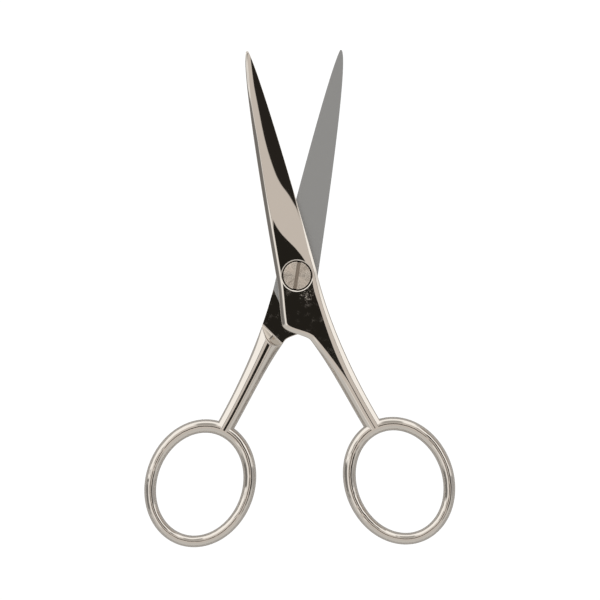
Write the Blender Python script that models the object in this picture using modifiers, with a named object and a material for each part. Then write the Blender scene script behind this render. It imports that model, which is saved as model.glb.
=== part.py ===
"""Ring-handled thread scissors: two forged halves that cross on a slotted pivot screw.

Metres, +Z up. The scissors lie flat with their tips to +Y, opened as they rest. The pivot axis is Z,
and the back of the joint lies on Z = 0.

A half is one forging of blade, joint, shank and finger ring. It is designed closed and seen from its
outer face: pivot at the origin, tip on +Y, ring on +X, and Z = 0 where the two halves meet. The back
half is the same forging turned over about Y, so the assembly has three pieces.
"""

import math
from collections import namedtuple

import bmesh
import bpy
import numpy as np

mm = 0.001

# Blade and joint
blade_length = 45.2 * mm  # pivot axis to tip
spine_reach = 4.05 * mm  # pivot to the blade's back, square to the half's axis
edge_reach = 3.95 * mm  # pivot to the cutting side
joint_thickness = 1.65 * mm
tip_thickness = 0.5 * mm
wedge_thickness = 0.3 * mm  # behind the ground cutting bevel
edge_land = 0.04 * mm
blade_foot = 10 * mm  # above the pivot, where the blade's outer face starts to rise into the joint
spine_bevel = 1.1 * mm
joint_bevel = 0.8 * mm
bevel_depth = 0.35 * mm
face_gap = 0.25 * mm  # between the two inner faces
rest_opening = math.radians(23.4)  # blade to blade

# Heel, where the joint ends on the spine side, and the throat below it
heel_drop = 8.8 * mm  # below the pivot
heel_overhang = 0.5 * mm
throat_length = 4.2 * mm

# Shank
shank_entry = math.radians(5)  # where it runs into the ring's wire, inwards from the hole's top
shank_width_end = 3.6 * mm  # widths are measured along X
shank_flare = 3.2 * mm  # extra width beside the heel, most of it gone by the throat
flare_length = 23.6 * mm
shank_bevel = 1.5 * mm
shank_thickness = 2.9 * mm

# Step on the inner face, where the lap ends and the shank takes its full thickness
step_clearance = 1.0 * mm  # from the other half's throat, when closed
step_lean = math.radians(34)  # the step's line, off square
step_slope = math.radians(45)

# Finger ring
ring_drop = 43.9 * mm  # the ring's centre below the pivot
ring_tilt = math.radians(8.4)  # its long axis, foot outwards
finger_hole_length = 20.6 * mm
finger_hole_width = 16.7 * mm
ring_gap = 0.2 * mm  # ring to ring when the scissors are closed
wire_width = 2.3 * mm
wire_thickness = 2.7 * mm
wire_swell = 0.4 * mm  # more width where the ring takes the shank

# Pivot screw
head_radius = 2.75 * mm
head_land = 0.3 * mm  # straight rim above the head's cone
head_edge = 0.12 * mm
head_proud = 0.1 * mm
journal_radius = 1.75 * mm  # the smooth part that the front half turns on
thread_radius = 1.5 * mm  # screwed into the back half
running_clearance = 0.06 * mm
seat_clearance = 0.2 * mm
seat_rim = 0.2 * mm  # chamfer round the mouth of the seat
slot_width = 0.7 * mm
slot_depth = 0.55 * mm
slot_turn = math.radians(-10)  # off +Y

# Fineness of the facets
BLADE_RINGS = 16
JOINT_RINGS = 5
THROAT_RINGS = 7
SHANK_RINGS = 8
CORNER_STEPS = 3
TURNED_STEPS = 48
RING_STEPS = 52
WIRE_STEPS = 14

inner_face = face_gap / 2
outer_face = inner_face + joint_thickness
step_drop = heel_drop + throat_length + step_clearance  # below the pivot, on the half's axis
through = 5 * mm  # cutters run this far past the faces that they cut

# What changes along a half: the height of its outer face at the spine side and at the cutting side,
# the bevel on each side as width and depth, and how round its corners are, from 0 to 1.
Section = namedtuple("Section", "y spine_top edge_top left left_depth right right_depth round")


def clear_scene():
    for obj in list(bpy.data.objects):
        bpy.data.objects.remove(obj)


def new_collection(name):
    collection = bpy.data.collections.new(name)
    bpy.context.scene.collection.children.link(collection)
    return collection


def polished_metal(name, colour, roughness):
    material = bpy.data.materials.new(name)
    material.use_nodes = True
    shader = material.node_tree.nodes["Principled BSDF"]
    shader.inputs["Base Color"].default_value = (*colour, 1)
    shader.inputs["Metallic"].default_value = 1.0
    shader.inputs["Roughness"].default_value = roughness
    return material


def new_object(name, bm, collection):
    """An object with the closed surface in bm, its faces turned outwards."""
    bmesh.ops.recalc_face_normals(bm, faces=bm.faces)
    mesh = bpy.data.meshes.new(name)
    bm.to_mesh(mesh)
    bm.free()
    obj = bpy.data.objects.new(name, mesh)
    collection.objects.link(obj)
    return obj


def as_guide(obj):
    obj.hide_render = True
    obj.display_type = "WIRE"
    return obj


def add_boolean(obj, other, operation):
    """Cuts or joins with other, which then turns and moves with obj."""
    boolean = obj.modifiers.new(other.name, "BOOLEAN")
    boolean.operation = operation
    boolean.object = other
    other.parent = obj


# ---------------------------------------------------------------------------
# Course of the ring's wire
# ---------------------------------------------------------------------------
def wire_point(turn):
    """Centre and half width of the wire, from the ring's centre. turn is 0 at the hole's top end and
    grows inwards, towards the other ring."""
    swell = wire_swell * ((1 + math.cos(turn - math.radians(10))) / 2) ** 2
    half_width = (wire_width + swell) / 2
    long_half = finger_hole_length / 2
    short_half = finger_hole_width / 2
    outwards = np.array([-math.sin(turn) * long_half, math.cos(turn) * short_half])
    hole = np.array([-math.sin(turn) * short_half, math.cos(turn) * long_half])
    x, y = hole + outwards / np.linalg.norm(outwards) * half_width
    c, s = math.cos(ring_tilt), math.sin(ring_tilt)
    return c * x - s * y, s * x + c * y, half_width


def ring_turns():
    return [2 * math.pi * i / RING_STEPS for i in range(RING_STEPS)]


def ring_centre():
    """Set so that the closed rings stop ring_gap apart."""
    inwards = [x - half_width for x, _, half_width in map(wire_point, ring_turns())]
    return ring_gap / 2 - min(inwards), -ring_drop


def on_ring(turn):
    """Centre and half width of the wire in the half's own frame."""
    x, y, half_width = wire_point(turn)
    centre_x, centre_y = ring_centre()
    return centre_x + x, centre_y + y, half_width


# ---------------------------------------------------------------------------
# Outline of a half
# ---------------------------------------------------------------------------
def ease(value):
    """0 to 1 with a level start and end."""
    value = min(1.0, max(0.0, value))
    return value * value * (3 - 2 * value)


def shank_foot():
    """The middle of the shank's end, on the centre of the ring's wire."""
    x, y, _ = on_ring(shank_entry)
    return x, y


def from_tip(y):
    """0 at the blunt tip and 1 at the pivot."""
    blunt = 0.003
    return blunt + (1 - blunt) * (blade_length - y) / blade_length


def right_side(y):
    """The cutting edge as a power curve, and below the pivot the outer side of joint and shank."""
    if y >= 0:
        return edge_reach * from_tip(y) ** 0.67
    foot_x, foot_y = shank_foot()
    sweep = foot_x + shank_width_end / 2 - edge_reach
    return edge_reach + sweep * (y / foot_y) ** 1.75


def left_side(y):
    """The spine as a parabola down to the heel, and then the throat, easing into the shank."""
    heel = heel_overhang * ease(-y / heel_drop)
    spine = -spine_reach * math.sqrt(from_tip(max(y, -heel_drop))) - heel
    if y >= -heel_drop:
        return spine
    below_heel = -y - heel_drop
    flare = shank_flare * max(0, 1 - below_heel / flare_length) ** 3.2
    shank = right_side(y) - shank_width_end - flare
    return spine + (shank - spine) * ease(below_heel / throat_length)


def design_sections():
    """The sections that are designed, from the tip to the end of the shank."""
    tip_top = inner_face + tip_thickness
    wedge_top = inner_face + wedge_thickness
    wedge_depth = wedge_thickness - edge_land
    half_shank = shank_thickness / 2
    _, foot_y = shank_foot()
    return [
        Section(blade_length, tip_top, wedge_top, 0.08 * mm, 0.1 * mm, 0.05 * mm, wedge_depth, 0),
        Section(blade_length * 0.5, inner_face + (tip_thickness + joint_thickness) / 2, wedge_top,
                spine_bevel, bevel_depth, 0.12 * mm, wedge_depth, 0),
        Section(blade_foot, outer_face - bevel_depth / 2, wedge_top, spine_bevel, bevel_depth,
                0.3 * mm, wedge_depth, 0),
        Section(0, outer_face, outer_face, spine_bevel, bevel_depth, joint_bevel, bevel_depth, 0),
        Section(-heel_drop, outer_face, outer_face, joint_bevel, bevel_depth,
                joint_bevel, bevel_depth, 0),
        Section(-heel_drop - throat_length, outer_face, outer_face, shank_bevel,
                joint_thickness * 0.6, shank_bevel, joint_thickness * 0.6, 0.6),
        Section(foot_y, half_shank, half_shank, shank_width_end * 0.45, half_shank,
                shank_width_end * 0.45, half_shank, 1),
    ]


def section_at(y, sections):
    """The designed values at y, read off along straight lines between the designed sections."""
    stations = [-section.y for section in sections]
    return Section(y, *(np.interp(-y, stations, values) for values in list(zip(*sections))[1:]))


def corner(width, depth, roundness):
    """Offsets from a face to its neighbour: a straight bevel or a quarter of an oval, or between."""
    for step in range(CORNER_STEPS + 1):
        u = step / CORNER_STEPS
        across = u + roundness * (1 - math.cos(u * math.pi / 2) - u)
        along = u + roundness * (math.sin(u * math.pi / 2) - u)
        yield width * across, depth * along


def section_outline(section):
    """Points round a half at one y: up the left side, over the outer face, down and back under."""
    left = left_side(section.y)
    right = right_side(section.y)
    under = -shank_thickness / 2
    round_x = (right - left) * 0.4
    round_z = shank_thickness * 0.4
    points = []
    for x, z in corner(section.left, section.left_depth, section.round):
        points.append((left + x, section.spine_top - section.left_depth + z))
    for x, z in reversed(list(corner(section.right, section.right_depth, section.round))):
        points.append((right - x, section.edge_top - section.right_depth + z))
    for x, z in corner(round_x, round_z, 1):
        points.append((right - x, under + round_z - z))
    for x, z in reversed(list(corner(round_x, round_z, 1))):
        points.append((left + x, under + round_z - z))
    return [(x, section.y, z) for x, z in points]


def stations():
    """Where the loft has its rings: close together at the tip and the heel."""
    blade = blade_length * (1 - np.linspace(0, 1, BLADE_RINGS) ** 1.4)
    joint = np.linspace(0, -heel_drop, JOINT_RINGS)[1:]
    throat = np.linspace(-heel_drop, -heel_drop - throat_length, THROAT_RINGS)[1:]
    _, foot_y = shank_foot()
    shank = np.linspace(-heel_drop - throat_length, foot_y, SHANK_RINGS)[1:]
    return [float(y) for part in (blade, joint, throat, shank) for y in part]


def make_body(name, collection):
    """Blade, joint and shank as one loft through unlike sections, still thick under the lap."""
    sections = design_sections()
    bm = bmesh.new()
    rings = []
    for y in stations():
        outline = section_outline(section_at(y, sections))
        rings.append([bm.verts.new(point) for point in outline])
    for ring, following in zip(rings, rings[1:]):
        for i in range(len(ring)):
            bm.faces.new((ring[i - 1], ring[i], following[i], following[i - 1]))
    bm.faces.new(rings[0])
    bm.faces.new(rings[-1])
    return new_object(name, bm, collection)


# ---------------------------------------------------------------------------
# Finger ring
# ---------------------------------------------------------------------------
def make_ring(name, collection):
    """The wire as a closed curve with an oval section of unit half width, scaled by its radius."""
    section = bpy.data.curves.new(name + "_section", "CURVE")
    section.dimensions = "2D"
    oval = section.splines.new("POLY")
    oval.points.add(WIRE_STEPS - 1)
    oval.use_cyclic_u = True
    for i, point in enumerate(oval.points):
        angle = 2 * math.pi * i / WIRE_STEPS
        point.co = (math.cos(angle), math.sin(angle), 0, 1)
    section_object = bpy.data.objects.new(name + "_section", section)
    collection.objects.link(section_object)

    wire = bpy.data.curves.new(name + "_wire", "CURVE")
    wire.dimensions = "3D"
    wire.twist_mode = "Z_UP"
    wire.bevel_mode = "OBJECT"
    wire.bevel_object = section_object
    spline = wire.splines.new("POLY")
    path = [on_ring(turn) for turn in ring_turns()]
    spline.points.add(len(path) - 1)
    spline.use_cyclic_u = True
    for point, (x, y, half_width) in zip(spline.points, path):
        point.co = (x, y, 0, 1)
        point.radius = half_width
    curve = bpy.data.objects.new(name + "_wire", wire)
    collection.objects.link(curve)

    bpy.context.view_layer.update()
    graph = bpy.context.evaluated_depsgraph_get()
    mesh = bpy.data.meshes.new_from_object(curve.evaluated_get(graph))
    bm = bmesh.new()
    bm.from_mesh(mesh)
    bmesh.ops.remove_doubles(bm, verts=bm.verts, dist=1e-6)
    for vert in bm.verts:
        nearest = min(path, key=lambda p: math.hypot(p[0] - vert.co.x, p[1] - vert.co.y) / p[2])
        vert.co.z *= wire_thickness / 2 / nearest[2]
    ring = new_object(name, bm, collection)
    ring.matrix_world = curve.matrix_world
    bpy.data.objects.remove(curve)
    bpy.data.objects.remove(section_object)
    return as_guide(ring)


# ---------------------------------------------------------------------------
# Turned shapes and cutters
# ---------------------------------------------------------------------------
def turn_profile(name, profile, collection):
    """A solid of revolution about Z. The profile is (radius, z), top to bottom, ending on the axis."""
    bm = bmesh.new()
    verts = [bm.verts.new((radius, 0, z)) for radius, z in profile]
    for upper, lower in zip(verts, verts[1:]):
        bm.edges.new((upper, lower))
    mesh = bpy.data.meshes.new(name)
    bm.to_mesh(mesh)
    bm.free()
    obj = bpy.data.objects.new(name, mesh)
    collection.objects.link(obj)
    screw = obj.modifiers.new("turn", "SCREW")
    screw.axis = "Z"
    screw.steps = TURNED_STEPS
    screw.render_steps = TURNED_STEPS
    screw.use_merge_vertices = True
    screw.merge_threshold = 1e-6
    return obj


def cone_foot(radius_top, z_top, radius_foot):
    """Height where a 45 degree cone from radius_top at z_top comes down to radius_foot."""
    return z_top - (radius_top - radius_foot)


def make_head_seat(collection):
    """Cuts the front half's countersink, its chamfered mouth and the hole for the journal."""
    mouth = head_radius + seat_clearance
    hole = journal_radius + running_clearance
    cone_top = outer_face + head_proud - head_land - seat_clearance
    profile = [
        (0, outer_face + through),
        (mouth + seat_rim + through, outer_face + through),
        (mouth, outer_face - seat_rim),
        (mouth, cone_top),
        (hole, cone_foot(mouth, cone_top, hole)),
        (hole, -through),
        (0, -through),
    ]
    return as_guide(turn_profile("head_seat", profile, collection))


def make_thread_hole(collection):
    """Cuts the back half's hole, the size of the screw's thread with a clearance."""
    radius = thread_radius + running_clearance
    profile = [(0, through), (radius, through), (radius, -through), (0, -through)]
    return as_guide(turn_profile("thread_hole", profile, collection))


def make_lap_cutter(collection):
    """Cuts the flat inner face from the tip to the step, whose slope runs down to the shank."""
    bm = bmesh.new()
    bmesh.ops.create_cube(bm, size=1)
    reach = blade_length + step_drop + through
    depth = shank_thickness
    for vert in bm.verts:
        top = vert.co.z > 0
        vert.co.x *= 2 * reach
        vert.co.z = inner_face if top else inner_face - depth
        if vert.co.y > 0:
            vert.co.y = reach
        else:
            vert.co.y = 0 if top else -depth / math.tan(step_slope)
    cutter = new_object("lap", bm, collection)
    cutter.location.y = -step_drop
    cutter.rotation_euler.z = step_lean
    return as_guide(cutter)


def make_slot_cutter(collection):
    bm = bmesh.new()
    bmesh.ops.create_cube(bm, size=1)
    for vert in bm.verts:
        vert.co.x *= slot_width
        vert.co.y *= 4 * head_radius
        vert.co.z = slot_depth if vert.co.z > 0 else -slot_depth
    cutter = new_object("slot", bm, collection)
    cutter.location.z = outer_face + head_proud
    cutter.rotation_euler.z = slot_turn
    return as_guide(cutter)


# ---------------------------------------------------------------------------
# The three pieces
# ---------------------------------------------------------------------------
def make_half(name, hole, parts, cutters, material):
    half = make_body(name, parts)
    add_boolean(half, make_lap_cutter(cutters), "DIFFERENCE")
    add_boolean(half, make_ring(name + "_ring", cutters), "UNION")
    add_boolean(half, hole, "DIFFERENCE")
    half.data.materials.append(material)
    shade_round(half)
    return half


def make_screw(parts, cutters, material):
    """Countersunk head, smooth journal through the front half and thread down to the back face."""
    top = outer_face + head_proud
    cone_top = top - head_land
    profile = [
        (0, top),
        (head_radius - head_edge, top),
        (head_radius, top - head_edge),
        (head_radius, cone_top),
        (journal_radius, cone_foot(head_radius, cone_top, journal_radius)),
        (journal_radius, 0),
        (thread_radius, 0),
        (thread_radius, -outer_face),
        (0, -outer_face),
    ]
    screw = turn_profile("pivot_screw", profile, parts)
    add_boolean(screw, make_slot_cutter(cutters), "DIFFERENCE")
    screw.data.materials.append(material)
    shade_round(screw)
    return screw


def shade_round(obj):
    obj.data.shade_smooth()
    obj.data.set_sharp_from_angle(angle=math.radians(25))


def build():
    clear_scene()
    parts = new_collection("thread_scissors")
    cutters = new_collection("cutters")
    nickel = polished_metal("polished_nickel", (0.72, 0.69, 0.64), 0.12)
    back_nickel = polished_metal("polished_nickel_back", (0.70, 0.67, 0.62), 0.14)
    turned = polished_metal("turned_nickel", (0.68, 0.64, 0.58), 0.25)

    front = make_half("front_half", make_head_seat(cutters), parts, cutters, nickel)
    rear = make_half("rear_half", make_thread_hole(cutters), parts, cutters, back_nickel)
    screw = make_screw(parts, cutters, turned)

    pivot = bpy.data.objects.new("pivot_axis", None)
    parts.objects.link(pivot)
    pivot.location.z = outer_face
    front.rotation_euler.z = rest_opening / 2
    rear.rotation_euler = (0, math.pi, -rest_opening / 2)
    for piece in (front, rear, screw):
        piece.parent = pivot


build()
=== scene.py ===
"""Thread scissors: two forged, nickel-plated halves on a slotted pivot screw, lying open on a table."""
import math

import bmesh
import bpy
import numpy as np
from mathutils import Matrix, Vector


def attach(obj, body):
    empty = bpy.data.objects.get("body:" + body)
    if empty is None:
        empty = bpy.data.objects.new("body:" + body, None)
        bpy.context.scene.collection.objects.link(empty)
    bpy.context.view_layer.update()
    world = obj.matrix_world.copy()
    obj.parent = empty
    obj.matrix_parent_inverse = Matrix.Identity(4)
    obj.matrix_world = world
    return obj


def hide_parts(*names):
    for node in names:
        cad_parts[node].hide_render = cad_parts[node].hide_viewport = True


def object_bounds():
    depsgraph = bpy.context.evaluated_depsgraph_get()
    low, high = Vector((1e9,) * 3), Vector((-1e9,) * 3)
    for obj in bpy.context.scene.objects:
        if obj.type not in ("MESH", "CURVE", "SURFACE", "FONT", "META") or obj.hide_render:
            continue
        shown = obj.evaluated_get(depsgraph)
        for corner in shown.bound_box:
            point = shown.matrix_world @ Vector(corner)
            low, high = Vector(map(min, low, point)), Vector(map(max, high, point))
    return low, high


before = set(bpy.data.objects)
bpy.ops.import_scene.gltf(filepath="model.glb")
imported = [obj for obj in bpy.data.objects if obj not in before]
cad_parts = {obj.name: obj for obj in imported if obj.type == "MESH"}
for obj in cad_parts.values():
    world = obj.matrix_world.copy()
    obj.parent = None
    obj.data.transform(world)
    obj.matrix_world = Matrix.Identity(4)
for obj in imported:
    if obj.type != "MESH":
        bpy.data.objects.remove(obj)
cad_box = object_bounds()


# ---------------------------------------------------------------------------------------------
# The view: a long lens looks straight down at the open scissors, turned a hair clockwise, so that
# the tips lean left.
# ---------------------------------------------------------------------------------------------
MM = 0.001
low, high = (Vector(corner) for corner in cad_box)
table_span = 117.8 * MM  # what the frame takes in, at the height of the joint
lens_height = 1.2
lens_turn = math.radians(0.74)
aim_x, aim_y = 0.53 * MM, -4.8 * MM  # the middle of the view, from the pivot

camera_data = bpy.data.cameras.new("lens")
camera_data.sensor_width = 36
camera_data.lens = camera_data.sensor_width * lens_height / table_span
camera_data.clip_start = 0.01
camera = bpy.data.objects.new("camera", camera_data)
bpy.context.scene.collection.objects.link(camera)
camera.location = (aim_x, aim_y, high.z + lens_height)
camera.rotation_euler = (0, 0, -lens_turn)
bpy.context.scene.camera = camera
bpy.context.scene.view_settings.view_transform = "Standard"


# ---------------------------------------------------------------------------------------------
# The table and the studio round it. The polished metal shows nothing but what stands round it: a
# dark hood straight above, warm light tents beside it, and darker gaps between them.
# ---------------------------------------------------------------------------------------------
class Shade:
    """A socket in a node tree. Arithmetic on it adds Math nodes."""

    def __init__(self, tree, socket):
        self.tree = tree
        self.socket = socket

    def math(self, operation, *others, turned_round=False):
        values = (*others, self) if turned_round else (self, *others)
        return add(self.tree, "ShaderNodeMath", {"operation": operation}, dict(enumerate(values)))

    def __add__(self, other): return self.math("ADD", other)
    def __sub__(self, other): return self.math("SUBTRACT", other)
    def __mul__(self, other): return self.math("MULTIPLY", other)
    def __truediv__(self, other): return self.math("DIVIDE", other)
    def __radd__(self, other): return self.math("ADD", other)
    def __rsub__(self, other): return self.math("SUBTRACT", other, turned_round=True)
    def __rmul__(self, other): return self.math("MULTIPLY", other)
    def __abs__(self): return self.math("ABSOLUTE")

    def rise(self, start, end):
        """0 on the side of start, 1 on the side of end, with a soft step between."""
        inputs = {"Value": self, "From Min": start, "From Max": end}
        return add(self.tree, "ShaderNodeMapRange", {"interpolation_type": "SMOOTHSTEP"}, inputs)


def add(tree, kind, settings=None, inputs=None, output=0):
    """Adds a node, sets it, and gives each input its value or link."""
    node = tree.nodes.new(kind)
    for name, value in (settings or {}).items():
        setattr(node, name, value)
    for name, value in (inputs or {}).items():
        if isinstance(value, Shade):
            tree.links.new(value.socket, node.inputs[name])
        else:
            node.inputs[name].default_value = value
    return Shade(tree, node.outputs[output]) if node.outputs else None


def parts(tree, vector):
    """The three numbers of a vector."""
    split = add(tree, "ShaderNodeSeparateXYZ", inputs={0: vector})
    return [Shade(tree, output) for output in split.socket.node.outputs]


def blend(tree, factor, first, second):
    """A colour between two colours."""
    inputs = {0: factor, 6: first, 7: second}
    return add(tree, "ShaderNodeMix", {"data_type": "RGBA"}, inputs, output=2)


def grey(value):
    return (value, value, value, 1)


def light_studio():
    """The studio, laid out by the slope of the polished face that shows it from above.

    A face whose normal leans by the slope (sx, sy) throws a ray from above towards the direction d
    with (sx, sy) = d.xy / (1 + d.z). Each field is a mask over those slopes with its colour, and
    covers the fields before it."""
    world = bpy.data.worlds.new("studio")
    bpy.context.scene.world = world
    world.use_nodes = True
    tree = world.node_tree
    tree.nodes.clear()
    x, y, z = parts(tree, add(tree, "ShaderNodeTexCoord"))
    above = (z + 1).math("MAXIMUM", 0.02)
    sx = x / above
    sy = y / above
    slope = (sx * sx + sy * sy).math("SQRT")
    north = sy / slope.math("MAXIMUM", 0.001)
    east = sx / slope.math("MAXIMUM", 0.001)
    west = -1 * east

    gap_turn = math.radians(12)
    gap_along = sx * math.cos(gap_turn) + sy * math.sin(gap_turn)
    gap_across = abs(sy * math.cos(gap_turn) - sx * math.sin(gap_turn))
    beyond_tents = slope.rise(0.25, 0.4)
    north_east = north.rise(0.15, 0.35) * east.rise(0.45, 0.6)
    west_north_west = north.rise(0.2, 0.3) * west.rise(0.8, 0.88)
    due_west = west.rise(0.9, 0.985) * (1 - north.rise(0.1, 0.2))

    tents = (0.66, 0.605, 0.555, 1)
    fields = [
        # The room beyond the tents, with a window to the north and a pale wall to the south.
        (beyond_tents, (0.42, 0.405, 0.39, 1)),
        (beyond_tents * north.rise(0.05, 0.3), (1.12, 1.09, 1.05, 1)),
        (beyond_tents * (1 - north.rise(-0.35, -0.05)), (0.62, 0.60, 0.57, 1)),
        # A bright strip light to the west.
        (west.rise(0.7, 0.85) * slope.rise(0.17, 0.2) * (1 - slope.rise(0.36, 0.4)),
         (0.95, 0.92, 0.88, 1)),
        # Dim furniture, low down all round but for north and south, and higher in the west.
        (slope.rise(0.8, 1.0) * (1 - abs(north).rise(0.5, 0.8)), (0.27, 0.26, 0.25, 1)),
        (due_west * slope.rise(0.40, 0.48), (0.20, 0.19, 0.18, 1)),
        # A brown curtain in the north-east, and the warm floor below its hem.
        (north_east * slope.rise(0.62, 0.70), (0.17, 0.14, 0.12, 1)),
        (north_east * slope.rise(0.82, 0.88), (0.50, 0.42, 0.36, 1)),
        # The edges of the tents, seen as a dark line in the west-north-west and a grey one due north.
        (west_north_west * slope.rise(0.20, 0.23) * (1 - slope.rise(0.29, 0.33)),
         (0.20, 0.19, 0.18, 1)),
        (slope.rise(0.10, 0.2) * (1 - slope.rise(0.5, 0.6)) * north.rise(0.955, 0.985),
         (0.42, 0.40, 0.37, 1)),
        # The gap between two tents, and the hood straight above.
        (gap_along.rise(0.195, 0.202) * (1 - gap_along.rise(0.36, 0.40)) * (1 - gap_across.rise(0.16, 0.3)),
         (0.022, 0.019, 0.016, 1)),
        (1 - slope.rise(0.055, 0.060), (0.018, 0.016, 0.013, 1)),
    ]
    lit = tents
    for field, colour in fields:
        lit = blend(tree, field, lit, colour)
    seen_by_lens = add(tree, "ShaderNodeLightPath", output=0)
    background = add(tree, "ShaderNodeBackground", inputs={0: blend(tree, seen_by_lens, lit, grey(1))})
    add(tree, "ShaderNodeOutputWorld", inputs={0: background})


light_studio()

half_table = 3.0
table_mesh = bpy.data.meshes.new("table")
table_mesh.from_pydata([(-half_table, -half_table, 0), (half_table, -half_table, 0),
                        (half_table, half_table, 0), (-half_table, half_table, 0)], [], [(0, 1, 2, 3)])
table = bpy.data.objects.new("table", table_mesh)
bpy.context.scene.collection.objects.link(table)
table.location.z = low.z - 0.02 * MM
paper = bpy.data.materials.new("white_paper")
paper.use_nodes = True
paper_tree = paper.node_tree
paper_tree.nodes.clear()
in_a_reflection = add(paper_tree, "ShaderNodeLightPath", output=3)
matt = add(paper_tree, "ShaderNodeBsdfDiffuse", inputs={0: grey(0.56)})
faint = add(paper_tree, "ShaderNodeEmission", inputs={0: grey(1), 1: 0.09})
reflected = add(paper_tree, "ShaderNodeAddShader", inputs={0: matt, 1: faint})
bright = add(paper_tree, "ShaderNodeEmission", inputs={0: grey(1), 1: 1.05})
sheet = add(paper_tree, "ShaderNodeMixShader", inputs={0: in_a_reflection, 1: bright, 2: reflected})
add(paper_tree, "ShaderNodeOutputMaterial", inputs={0: sheet})
table_mesh.materials.append(paper)


# ---------------------------------------------------------------------------------------------
# The front half: one drop forging of blade, joint, shank and finger ring, ground, polished all over
# and nickel plated. It is worked out closed, seen from its outer face, with the pivot at the origin,
# the tip on +Y and the ring on +X, in millimetres.
# ---------------------------------------------------------------------------------------------
BLADE = 45.2  # pivot to tip
TIP = 0.003  # how blunt the tip is, as a share of the blade
EDGE_SIDE, BACK_SIDE = 3.95, 4.05  # from the pivot to the edge's side and to the back's side
HEEL = -8.8  # the corner below the pivot where the back turns into the throat
INNER = 0.06  # the inner face, above the plane where the halves meet
OUTER = 1.775  # the joint's outer face
LAP_END = 12.0  # above it the face is hollowed
STEP_Y, STEP_LEAN = -14.0, math.radians(34)  # the step where the thin joint meets the deep shank
SHANK_THICK, SHANK_WIDTH = 2.9, 3.6
SHANK_LEAN = 0.28  # how far the lines across the shank lean, in radians
SHANK_SUNK = 2.5  # how far the shank runs into the ring's wire
RING_DROP = 43.9
RING_TILT = math.radians(8.4)
RING_GAP = 0.2  # between the two rings when closed
HOLE_LENGTH, HOLE_WIDTH = 20.6, 16.7
WIRE_WIDTH, WIRE_THICK, WIRE_SWELL = 2.3, 2.7, 0.4
OPENING = math.radians(23.4)
FACE_POINTS = 61  # places across the outer face
CRISP_EDGE = math.radians(24)  # faces that meet at more than this are shaded apart


def ease(value, start, end):
    """0 at start and before, 1 at end and beyond, level at both."""
    t = np.clip((np.asarray(value, float) - start) / (end - start), 0, 1)
    return t * t * (3 - 2 * t)


def through(value, knots, heights, reach=1.2):
    """Straight runs between the knots, rounded by the mean of nine looks within the reach."""
    looks = [np.interp(value + shift, knots, heights) for shift in np.linspace(-reach, reach, 9)]
    return np.mean(looks, axis=0)


def wire_at(turn):
    """The wire's centre, half width and outward direction round the finger hole, an oval drawn by
    sine and cosine. turn is 0 at the hole's top end and grows towards the other ring."""
    half = (WIRE_WIDTH + WIRE_SWELL * ((1 + np.cos(turn - math.radians(10))) / 2) ** 2) / 2
    out = np.stack([-np.sin(turn) * HOLE_LENGTH, np.cos(turn) * HOLE_WIDTH], -1)
    out /= np.linalg.norm(out, axis=-1, keepdims=True)
    hole = np.stack([-np.sin(turn) * HOLE_WIDTH, np.cos(turn) * HOLE_LENGTH], -1) / 2
    tilt = np.array([[math.cos(RING_TILT), -math.sin(RING_TILT)],
                     [math.sin(RING_TILT), math.cos(RING_TILT)]])
    return (hole + out * half[..., None]) @ tilt.T, half, out @ tilt.T


ring_path, ring_half, ring_out = wire_at(np.linspace(0, 2 * math.pi, 360, endpoint=False))
ring_middle = np.array([RING_GAP / 2 - (ring_path[:, 0] - ring_half).min(), -RING_DROP])
FOOT_X, FOOT_Y = wire_at(np.array([math.radians(5)]))[0][0] + ring_middle


def from_tip(y):
    """The distance from the tip as a share of the blade. It never quite falls to nothing."""
    return TIP + (1 - TIP) * (BLADE - y) / BLADE


def right_side(y):
    """The cutting edge is a power curve of the distance from the tip. Below the pivot the outer side
    of joint and shank sweeps out to the ring."""
    sweep = FOOT_X + SHANK_WIDTH / 2 - EDGE_SIDE
    return EDGE_SIDE * from_tip(np.maximum(y, 0)) ** 0.67 + sweep * (np.minimum(y, 0) / FOOT_Y) ** 1.75


def left_side(y):
    """The blade's back is a parabola down to the heel. Below it the throat eases into the shank,
    which is flared at its top."""
    back_y = np.maximum(y, HEEL)
    heel_swell = 0.5 * ease(-back_y, 0, -HEEL)
    back = -BACK_SIDE * np.sqrt(from_tip(back_y)) - heel_swell
    below = np.maximum(HEEL - y, 0)
    flare = 3.2 * np.maximum(0, 1 - below / 23.6) ** 3.2
    shank = right_side(y) - SHANK_WIDTH - flare
    return back + (shank - back) * ease(below, 0, 4.2)


def rounded_sections(corners, cut_back, runs):
    """Closed sections with soft corners, for many stations at once.

    corners is (stations, corners, 2). Each corner is cut back along both its sides by its own
    distance and bridged with a parabola. The straight run after it gets as many points as its row in
    runs, (stations, points), lifted off the straight line by the numbers in that row."""
    to_next = np.roll(corners, -1, axis=1) - corners
    to_last = np.roll(corners, 1, axis=1) - corners
    next_length = np.linalg.norm(to_next, axis=2)
    last_length = np.linalg.norm(to_last, axis=2)
    back = np.minimum(cut_back, 0.46 * np.minimum(next_length, last_length))
    start = corners + to_last * (back / np.maximum(last_length, 1e-9))[..., None]
    end = corners + to_next * (back / np.maximum(next_length, 1e-9))[..., None]
    t = np.linspace(0, 1, 6)[None, :, None]
    points = []
    for k, run in enumerate(runs):
        following = (k + 1) % len(runs)
        points.append((1 - t) ** 2 * start[:, k, None] + 2 * t * (1 - t) * corners[:, k, None]
                      + t ** 2 * end[:, k, None])
        u = np.linspace(0, 1, run.shape[1] + 2)[1:-1][None, :, None]
        straight = end[:, k, None] + (start[:, following, None] - end[:, k, None]) * u
        points.append(straight + np.array([0, 1.0]) * run[..., None])
    return np.concatenate(points, axis=1)


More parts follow.
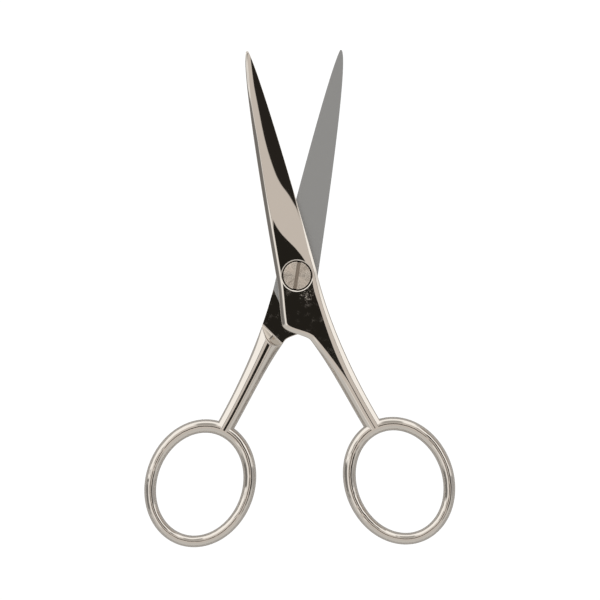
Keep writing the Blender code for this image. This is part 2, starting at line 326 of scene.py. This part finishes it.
def face_fall(y, left, right):
    """How far the outer face has fallen at each place from its left to its right side.

    The face leans to the right, ever more with the distance from the line where the joint's flat
    ends. A second line, further up, is where the lean of the hollow blade reaches that of the dark
    gap between the lights. The fall is the running sum of that lean."""
    flat_lean = 0.0575  # beyond it a face no longer shows the dark hood
    gap_lean = 0.1985  # from it on a face shows the gap
    flat_end = through(y, [-4, -2, 0, 2, 4, 6, 8, 10, 12, 13.2],
                       [3.9, 3.0, 2.9, 2.5, 1.75, 0.77, -0.46, -1.54, -2.2, -2.5], 0.7)
    gap_line = through(y, [10, 12, 14, 16, 18, 20, 22, 24, 26, 28, 30, 34, 38, 40, 42, 45],
                       [3.6, 2.93, 2.51, 1.86, 0.84, 0.25, -0.03, -0.26, -0.40, -0.46, -0.46, -0.36,
                        -0.27, -0.11, 0.10, 0.5], 0.7)
    growth = through(y, [0, 4, 8, 13, 16, 22, 30, 45],
                     [0.09, 0.05, 0.032, 0.026, 0.028, 0.04, 0.05, 0.06])[:, None]
    x = left[:, None] + (right - left)[:, None] * np.linspace(0, 1, FACE_POINTS)
    below = flat_lean + growth * (x - flat_end[:, None])
    below = (below + np.hypot(below, 0.012)) / 2
    above = gap_lean + growth * (x - gap_line[:, None])
    lean = below + (above - below) * ease(y, LAP_END + 0.3, LAP_END + 2.3)[:, None]
    lean *= ease(y, -4.5, -1.5)[:, None]
    steps = (lean[:, 1:] + lean[:, :-1]) / 2 * np.diff(x, axis=1)
    return np.concatenate([np.zeros((len(y), 1)), np.cumsum(steps, axis=1)], axis=1)


def squareness(side, across):
    """The cosine of the angle between each station and the square across the outline, a little
    evened out along the outline."""
    run = np.gradient(side, axis=0)
    run /= np.linalg.norm(run, axis=1, keepdims=True)
    cosine = np.abs(across[:, 0] * run[:, 1] - across[:, 1] * run[:, 0])
    padded = np.pad(cosine, 4, mode="edge")
    return np.convolve(padded, np.ones(9) / 9, mode="valid")


def stations():
    """The heights of the stations on the middle line, and their ends on the left and right side.

    A station is a straight line across the half. It lies level on the blade, along the step at the
    step, and nearly square to the shank below it. Its ends are found by going half way towards
    y + slant * side forty times."""
    step_top, step_foot = STEP_Y + 0.4, STEP_Y - 2.4
    y = np.concatenate([
        BLADE - (BLADE - LAP_END) * np.linspace(0, 1, 130) ** 1.25,
        np.linspace(LAP_END, -4, 75)[1:],
        np.linspace(-4, step_top, 90)[1:],
        np.linspace(step_top, step_foot, 64)[1:],
        np.linspace(step_foot, FOOT_Y - SHANK_SUNK, 56)[1:],
    ])
    slant = np.tan(STEP_LEAN * ease(-y, 2, 13) - (STEP_LEAN - SHANK_LEAN) * ease(-y, 16.2, 22))
    y_left, y_right = y, y
    for _ in range(40):
        y_left = (y_left + y + slant * left_side(y_left)) / 2
        y_right = (y_right + y + slant * right_side(y_right)) / 2
    return y, np.stack([left_side(y_left), y_left], -1), np.stack([right_side(y_right), y_right], -1)


def forging_grid():
    """Blade, joint and shank as a grid of stations by points round the section.

    The section has twelve corners. The outer face has two narrow facets down each side, and on the
    shank they meet in a crest. The under side has two facets down each side as well, which grow out
    of nothing where the thin joint gives way to the deep shank."""
    y, left, right = stations()
    width = np.linalg.norm(right - left, axis=1)
    across = (right - left) / width[:, None]
    square_left, square_right = (squareness(side, across) for side in (left, right))
    shank = ease(-y, 10.5, 19)
    deep = ease(-y, 5, 8)

    def grown(thin, full):
        """thin on blade and joint, full where the stock is deep."""
        return thin + (full - thin) * deep

    # The outer facets' widths are square to the outline, and what they leave is the outer face.
    back_outer = through(left[:, 1], [-24, -12, -9, 28, 36, 41, 45.2],
                         [1.19, 0.62, 0.66, 0.70, 0.4, 0.5, 0.3])
    back_inner = through(left[:, 1], [-24, -12, -9, 12, 16, 45.2], [0.70, 0.30, 0.32, 0.35, 0.15, 0.1])
    edge_inner = through(right[:, 1], [-31, -20, -15.6, -10, -8, -6, -4, -2, 1, 3, 4],
                         [0.72, 0.65, 0.8, 0.72, 0.68, 0.68, 0.84, 0.76, 0.3, 0.03, 0.02])
    edge_outer = through(right[:, 1], [-31, -19.5, -15.6, -9, -4, 0, 4, 8, 11, 14, 45.2],
                         [0.95, 0.95, 0.85, 0.75, 0.6, 0.5, 0.45, 0.27, 0.1, 0.03, 0.02])
    room = np.minimum(1, 0.95 * width / ((back_outer + back_inner) / square_left
                                         + (edge_inner + edge_outer) / square_right))
    back_outer, back_inner, edge_inner, edge_outer = (
        facet * room for facet in (back_outer, back_inner, edge_inner, edge_outer))
    back_outer_lean = 0.58 + 0.2 * shank - 0.28 * ease(y, 34, 39)
    back_inner_lean = 0.24 - 0.11 * shank
    edge_outer_lean, edge_inner_lean = 0.51, 0.15
    back_drop = back_inner * back_inner_lean
    back_wall = back_drop + back_outer * back_outer_lean
    edge_drop = edge_inner * edge_inner_lean
    edge_wall = edge_drop + edge_outer * edge_outer_lean
    back_outer, back_inner = back_outer / square_left, back_inner / square_left
    edge_outer, edge_inner = edge_outer / square_right, edge_inner / square_right

    face_left = back_outer + back_inner
    face_right = width - edge_outer - edge_inner
    fall = face_fall(y, left[:, 0] + face_left, left[:, 0] + face_right)
    top_left = INNER + through(y, [-3, 9, 14, 20, 28, 36, 42, 45.2],
                               [1.715, 1.715, 1.62, 1.42, 1.12, 0.78, 0.46, 0.3])
    top_left += (SHANK_THICK / 2 - OUTER) * ease(-y, 14, 28)
    top_right = top_left - fall[:, -1]
    crown = fall[:, -1:] * np.linspace(0, 1, FACE_POINTS) - fall
    back_wall = np.minimum(back_wall, 0.8 * (top_left - INNER))
    edge_wall = np.minimum(edge_wall, 0.9 * (top_right - INNER))

    # The facets of the under side, as shares of the width, which counts as no more than 5.3 here.
    bottom = grown(INNER, -SHANK_THICK / 2)
    broad = np.minimum(width, 5.3)
    under_left = grown(0.06, 0.31 * broad)
    under_left_inner = grown(0.01, 0.08 * broad)
    under_right = grown(0.06, 0.34 * broad)
    under_right_inner = grown(0.01, 0.13 * broad)
    left_inner_foot = bottom + 0.14 * deep * under_left_inner
    right_inner_foot = bottom + 0.14 * deep * under_right_inner
    left_foot = left_inner_foot + grown(0.01, 0.80 * under_left)
    right_foot = right_inner_foot + grown(0.01, 0.55 * under_right)

    # How far each kind of corner is cut back.
    soft = 0.12 + 0.08 * ease(-y, -2, 2) + 0.4 * ease(-y, 13, 22)
    back_soft = soft * (1 - 0.7 * ease(y, 34, 40))
    edge_soft = np.minimum(soft * (1 - 0.9 * ease(y, -3, 1)), 0.2)
    under_soft = 0.01 + (soft + 0.25 * ease(-y, 13, 18)) * deep
    keen = np.full_like(y, 0.05)
    crisp = keen + 0.10 * ease(-y, 12, 20)
    tucked = 0.01 + 0.14 * deep

    # One facet bulges a little over its five points, and one is hollowed by an arch of a sine.
    bulge = 0.04 * back_outer[:, None] * np.array([0.56, 0.89, 1, 0.89, 0.56])
    hollow = -0.06 * deep[:, None] * under_left[:, None] * np.sin(np.linspace(0, math.pi, 14)[1:-1])

    def level(points):
        """No lift for any point on a run."""
        return np.zeros((len(y), points))

    none = np.zeros_like(y)
    rows = [  # across, height, cut back, and the lift of each point on the run that follows
        (none, left_foot, under_soft, level(2)),
        (none, top_left - back_wall, back_soft, bulge),
        (back_outer, top_left - back_drop, crisp, level(3)),
        (face_left, top_left, crisp, crown[:, 2:-2:2]),
        (face_right, top_right, crisp, level(3)),
        (width - edge_outer, top_right - edge_drop, keen, level(5)),
        (width, top_right - edge_wall, edge_soft, level(2)),
        (width, right_foot, under_soft, level(14)),
        (width - under_right, right_inner_foot, tucked + 0.12 * deep, level(6)),
        (width - under_right - under_right_inner, bottom, tucked, level(4)),
        (under_left + under_left_inner, bottom, tucked, level(4)),
        (under_left, left_inner_foot, tucked, hollow),
    ]
    corners = np.stack([np.stack(row[:2], -1) for row in rows], axis=1)
    cut_back = np.stack([row[2] for row in rows], axis=1)
    section = rounded_sections(corners, cut_back, [row[3] for row in rows])
    plan = left[:, None] + across[:, None] * section[..., :1]

    # The joint is milled flat on its inner side as far as the step, which slopes down beyond its
    # line. Both ends of the slope are a little rounded.
    beyond = plan[..., 0] * math.sin(STEP_LEAN) - (plan[..., 1] - STEP_Y) * math.cos(STEP_LEAN)
    milled = INNER - 0.92 * (beyond + np.hypot(beyond, 0.1)) / 2
    height = section[..., 1]
    blunt = 0.10 * ease(-y, 8, 10)[:, None]
    height = (height + milled + np.hypot(height - milled, blunt)) / 2
    return np.concatenate([plan, height[..., None]], axis=2)


def ring_grid():
    """The ring's wire: an oval section carried round the hole."""
    around = np.linspace(0, 2 * math.pi, 56, endpoint=False)
    reach = ring_half[:, None] * np.cos(around)
    plan = (ring_path + ring_middle)[:, None] + ring_out[:, None] * reach[..., None]
    height = np.broadcast_to(WIRE_THICK / 2 * np.sin(around), plan.shape[:2])
    return np.concatenate([plan, height[..., None]], axis=2)


def skin(name, grid, loop=False):
    """A closed piece from a grid that goes round its section, capped at both ends unless its path
    is a loop. Every face is a quad between neighbours on the grid."""
    count, around = grid.shape[:2]
    i, j = np.meshgrid(np.arange(count if loop else count - 1), np.arange(around), indexing="ij")
    ahead, beside = (i + 1) % count, (j + 1) % around
    quads = np.stack([i * around + j, i * around + beside, ahead * around + beside, ahead * around + j], -1)
    faces = quads.reshape(-1, 4).tolist()
    if not loop:
        faces += [list(range(around))[::-1], list(range((count - 1) * around, count * around))]
    mesh = bpy.data.meshes.new(name)
    mesh.from_pydata(grid.reshape(-1, 3).tolist(), [], faces)
    shell = bmesh.new()
    shell.from_mesh(mesh)
    bmesh.ops.recalc_face_normals(shell, faces=shell.faces)
    shell.to_mesh(mesh)
    shell.free()
    piece = bpy.data.objects.new(name, mesh)
    bpy.context.scene.collection.objects.link(piece)
    return piece


def turned(name, profile, around=160):
    """A profile of radius and height, from the top down, carried round Z."""
    radius, height = np.asarray(profile, float).T
    angle = np.linspace(0, 2 * math.pi, around, endpoint=False)
    grid = np.stack([radius[:, None] * np.cos(angle), radius[:, None] * np.sin(angle),
                     np.broadcast_to(height[:, None], (len(radius), around))], -1)
    return skin(name, grid)


def worked(piece, *tools):
    """The piece with each tool joined to it or cut out of it, as a plain mesh."""
    for tool, operation in tools:
        modifier = piece.modifiers.new(tool.name, "BOOLEAN")
        modifier.operation = operation
        modifier.solver = "EXACT"
        modifier.object = tool
    bpy.context.view_layer.update()
    mesh = bpy.data.meshes.new_from_object(piece.evaluated_get(bpy.context.evaluated_depsgraph_get()))
    mesh.name = piece.name
    piece.modifiers.clear()
    for tool, _ in tools:
        bpy.data.objects.remove(tool)
    piece.data = mesh
    return piece


def finished(piece, place, material):
    """Keeps each point's own place on the piece, in millimetres, for the material to read, then puts
    the mesh in its place on the table, in metres, and gives it the material."""
    mesh = piece.data
    spots = np.empty(len(mesh.vertices) * 3)
    mesh.vertices.foreach_get("co", spots)
    mesh.attributes.new("own_place", "FLOAT_VECTOR", "POINT").data.foreach_set("vector", spots)
    mesh.transform(place @ Matrix.Scale(MM, 4))
    mesh.shade_smooth()
    mesh.set_sharp_from_angle(angle=CRISP_EDGE)
    mesh.materials.clear()
    mesh.materials.append(material)


def forged_half(name, hole):
    """Blade, joint and shank joined to the ring, with the pivot's hole cut out."""
    ring = skin(name + "_ring", ring_grid(), loop=True)
    return worked(skin(name, forging_grid()), (ring, "UNION"), (hole, "DIFFERENCE"))


def nickel():
    """Bright nickel plate. The blade's inner face is ground after plating, down to a slanting line
    below the pivot. The joint is smudged and scuffed below the screw, the handle is duller, and the
    ring's wire is slightly wavy."""
    material = bpy.data.materials.new("polished_nickel")
    material.use_nodes = True
    tree = material.node_tree
    tree.nodes.clear()
    place = add(tree, "ShaderNodeAttribute", {"attribute_name": "own_place"}, output=1)
    across, along, height = parts(tree, place)

    inner_face = height.rise(INNER + 0.06, INNER + 0.02) * height.rise(INNER - 0.06, INNER - 0.02)
    ground = inner_face * (along + 9.35 - 1.45 * across).rise(-0.15, 0.15) * along.rise(-8.5, -8.2)
    colour = blend(tree, ground, (0.80, 0.765, 0.72, 1), (0.474, 0.498, 0.515, 1))

    handle = along.rise(-13, -20)
    cloud = add(tree, "ShaderNodeTexNoise", inputs={"Vector": place, "Scale": 0.6, "Detail": 3.0})
    smudge = cloud.rise(0.48, 0.72) * along.rise(1, -2) * (1 - handle)
    grit = add(tree, "ShaderNodeTexNoise", inputs={"Vector": place, "Scale": 3.2, "Detail": 2.0})
    worn_spot = (1.1, -4.1, OUTER)
    from_spot = add(tree, "ShaderNodeVectorMath", {"operation": "DISTANCE"}, {0: place, 1: worn_spot},
                    output=1)
    scuff = grit.rise(0.50, 0.62) * (1 - from_spot.rise(0.8, 2.6))
    polished = 0.03 + 0.05 * handle + 0.10 * smudge + 0.14 * scuff
    rough = polished + ground * (0.42 - polished)

    waviness = add(tree, "ShaderNodeTexNoise", inputs={"Vector": place, "Scale": 0.45, "Detail": 1.0})
    wave = (waviness - 0.5) * along.rise(-32, -34)
    bump = add(tree, "ShaderNodeBump", inputs={"Strength": 1.0, "Distance": 0.12 * MM, "Height": wave})
    shader = add(tree, "ShaderNodeBsdfPrincipled",
                 inputs={"Base Color": colour, "Metallic": 1.0, "Roughness": rough, "Normal": bump})
    add(tree, "ShaderNodeOutputMaterial", inputs={0: shader})
    return material


SEAT_RADIUS = 2.95
BORE_RADIUS = 1.81
seat = turned("screw_seat", [(SEAT_RADIUS + 3.6, OUTER + 2), (SEAT_RADIUS + 0.26, OUTER + 0.02),
                             (SEAT_RADIUS + 0.02, OUTER - 0.13), (SEAT_RADIUS, OUTER - 0.17),
                             (SEAT_RADIUS, OUTER - 0.5), (BORE_RADIUS, OUTER - 1.5), (BORE_RADIUS, -2)])
front = forged_half("front_forging", seat)
nickel_plate = nickel()
lifted = Matrix.Translation((0, 0, OUTER * MM))
finished(front, lifted @ Matrix.Rotation(OPENING / 2, 4, "Z"), nickel_plate)
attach(front, "front")
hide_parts("front_half")


# ---------------------------------------------------------------------------------------------
# The rear half: the same forging from the same die, turned over, so its inner face looks up past
# the front blade. Its joint carries the thread that holds the pivot screw.
# ---------------------------------------------------------------------------------------------
THREAD_RADIUS = 1.56
thread_hole = turned("thread_hole", [(THREAD_RADIUS + 0.42, OUTER + 0.3), (THREAD_RADIUS, OUTER - 0.12),
                                     (THREAD_RADIUS, -2)])
rear = forged_half("rear_forging", thread_hole)
turned_over = Matrix.Rotation(-OPENING / 2, 4, "Z") @ Matrix.Rotation(math.pi, 4, "Y")
finished(rear, lifted @ turned_over, nickel_plate)
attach(rear, "rear")
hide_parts("rear_half")


# ---------------------------------------------------------------------------------------------
# The pivot screw: turned steel, nickel plated, with a flat slotted head let into the front half. Its
# journal carries the front half and its thread bites in the rear half.
# ---------------------------------------------------------------------------------------------
HEAD_RADIUS = 2.73
HEAD_TOP = OUTER + 0.1
RIM = 0.12  # the rounding round the head's top
JOURNAL_RADIUS = 1.75
THREAD_TIP_RADIUS = 1.5
SLOT_WIDTH, SLOT_DEPTH = 0.7, 0.55
SLOT_TURN = math.radians(80)

rim = [(HEAD_RADIUS - RIM + RIM * math.sin(turn), HEAD_TOP - RIM + RIM * math.cos(turn))
       for turn in np.linspace(0, math.pi / 2, 9)]
screw = turned("pivot_screw_steel", [
    (0.6, HEAD_TOP), (1.6, HEAD_TOP), *rim, (HEAD_RADIUS, HEAD_TOP - 0.45),
    (JOURNAL_RADIUS, HEAD_TOP - 1.45), (JOURNAL_RADIUS, 0.06),
    (THREAD_TIP_RADIUS, 0.0), (THREAD_TIP_RADIUS, -OUTER + 0.2), (THREAD_TIP_RADIUS - 0.18, -OUTER),
], around=240)
slot_corners = np.array([(-1, -1), (1, -1), (1, 1), (-1, 1)]) * (HEAD_RADIUS + 0.5, SLOT_WIDTH / 2)
slot_cutter = skin("slot_cutter", np.stack([np.c_[slot_corners, np.full(4, HEAD_TOP - SLOT_DEPTH)],
                                            np.c_[slot_corners, np.full(4, HEAD_TOP + 1)]]))
slot_cutter.data.transform(Matrix.Rotation(SLOT_TURN, 4, "Z"))
worked(screw, (slot_cutter, "DIFFERENCE"))


def turned_nickel():
    """Nickel plate over a turned face: fine rings round the middle, left by the lathe. The slot's
    floor and everything below the head are duller, and painted darker and browner as the shade that falls
    in the slot and in the seat round the head."""
    material = bpy.data.materials.new("turned_nickel")
    material.use_nodes = True
    tree = material.node_tree
    tree.nodes.clear()
    place = add(tree, "ShaderNodeAttribute", {"attribute_name": "own_place"}, output=1)
    height = parts(tree, place)[2]
    flat = add(tree, "ShaderNodeVectorMath", {"operation": "MULTIPLY"}, {0: place, 1: (1, 1, 0)})
    radius = add(tree, "ShaderNodeVectorMath", {"operation": "LENGTH"}, {0: flat}, output=1)
    # About 24 rings to the millimetre, on the head's top face alone.
    rings = (radius * 150).math("SINE") * height.rise(HEAD_TOP - 0.02, HEAD_TOP - 0.01)
    bump = add(tree, "ShaderNodeBump", inputs={"Strength": 1.0, "Distance": 0.0032 * MM, "Height": rings})
    # Below the head's top face the colour is painted shade, darker and browner in the slot and round the
    # head's side; the roughness there is real.
    head_top_above_painted_shade = height.rise(HEAD_TOP - 0.5, HEAD_TOP - 0.35)
    rough = 0.28 - 0.18 * head_top_above_painted_shade
    colour = blend(tree, head_top_above_painted_shade, (0.50, 0.44, 0.38, 1), (0.75, 0.69, 0.62, 1))
    shader = add(tree, "ShaderNodeBsdfPrincipled",
                 inputs={"Base Color": colour, "Metallic": 1.0, "Roughness": rough, "Normal": bump})
    add(tree, "ShaderNodeOutputMaterial", inputs={0: shader})
    return material


finished(screw, lifted, turned_nickel())
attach(screw, "screw")
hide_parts("pivot_screw")
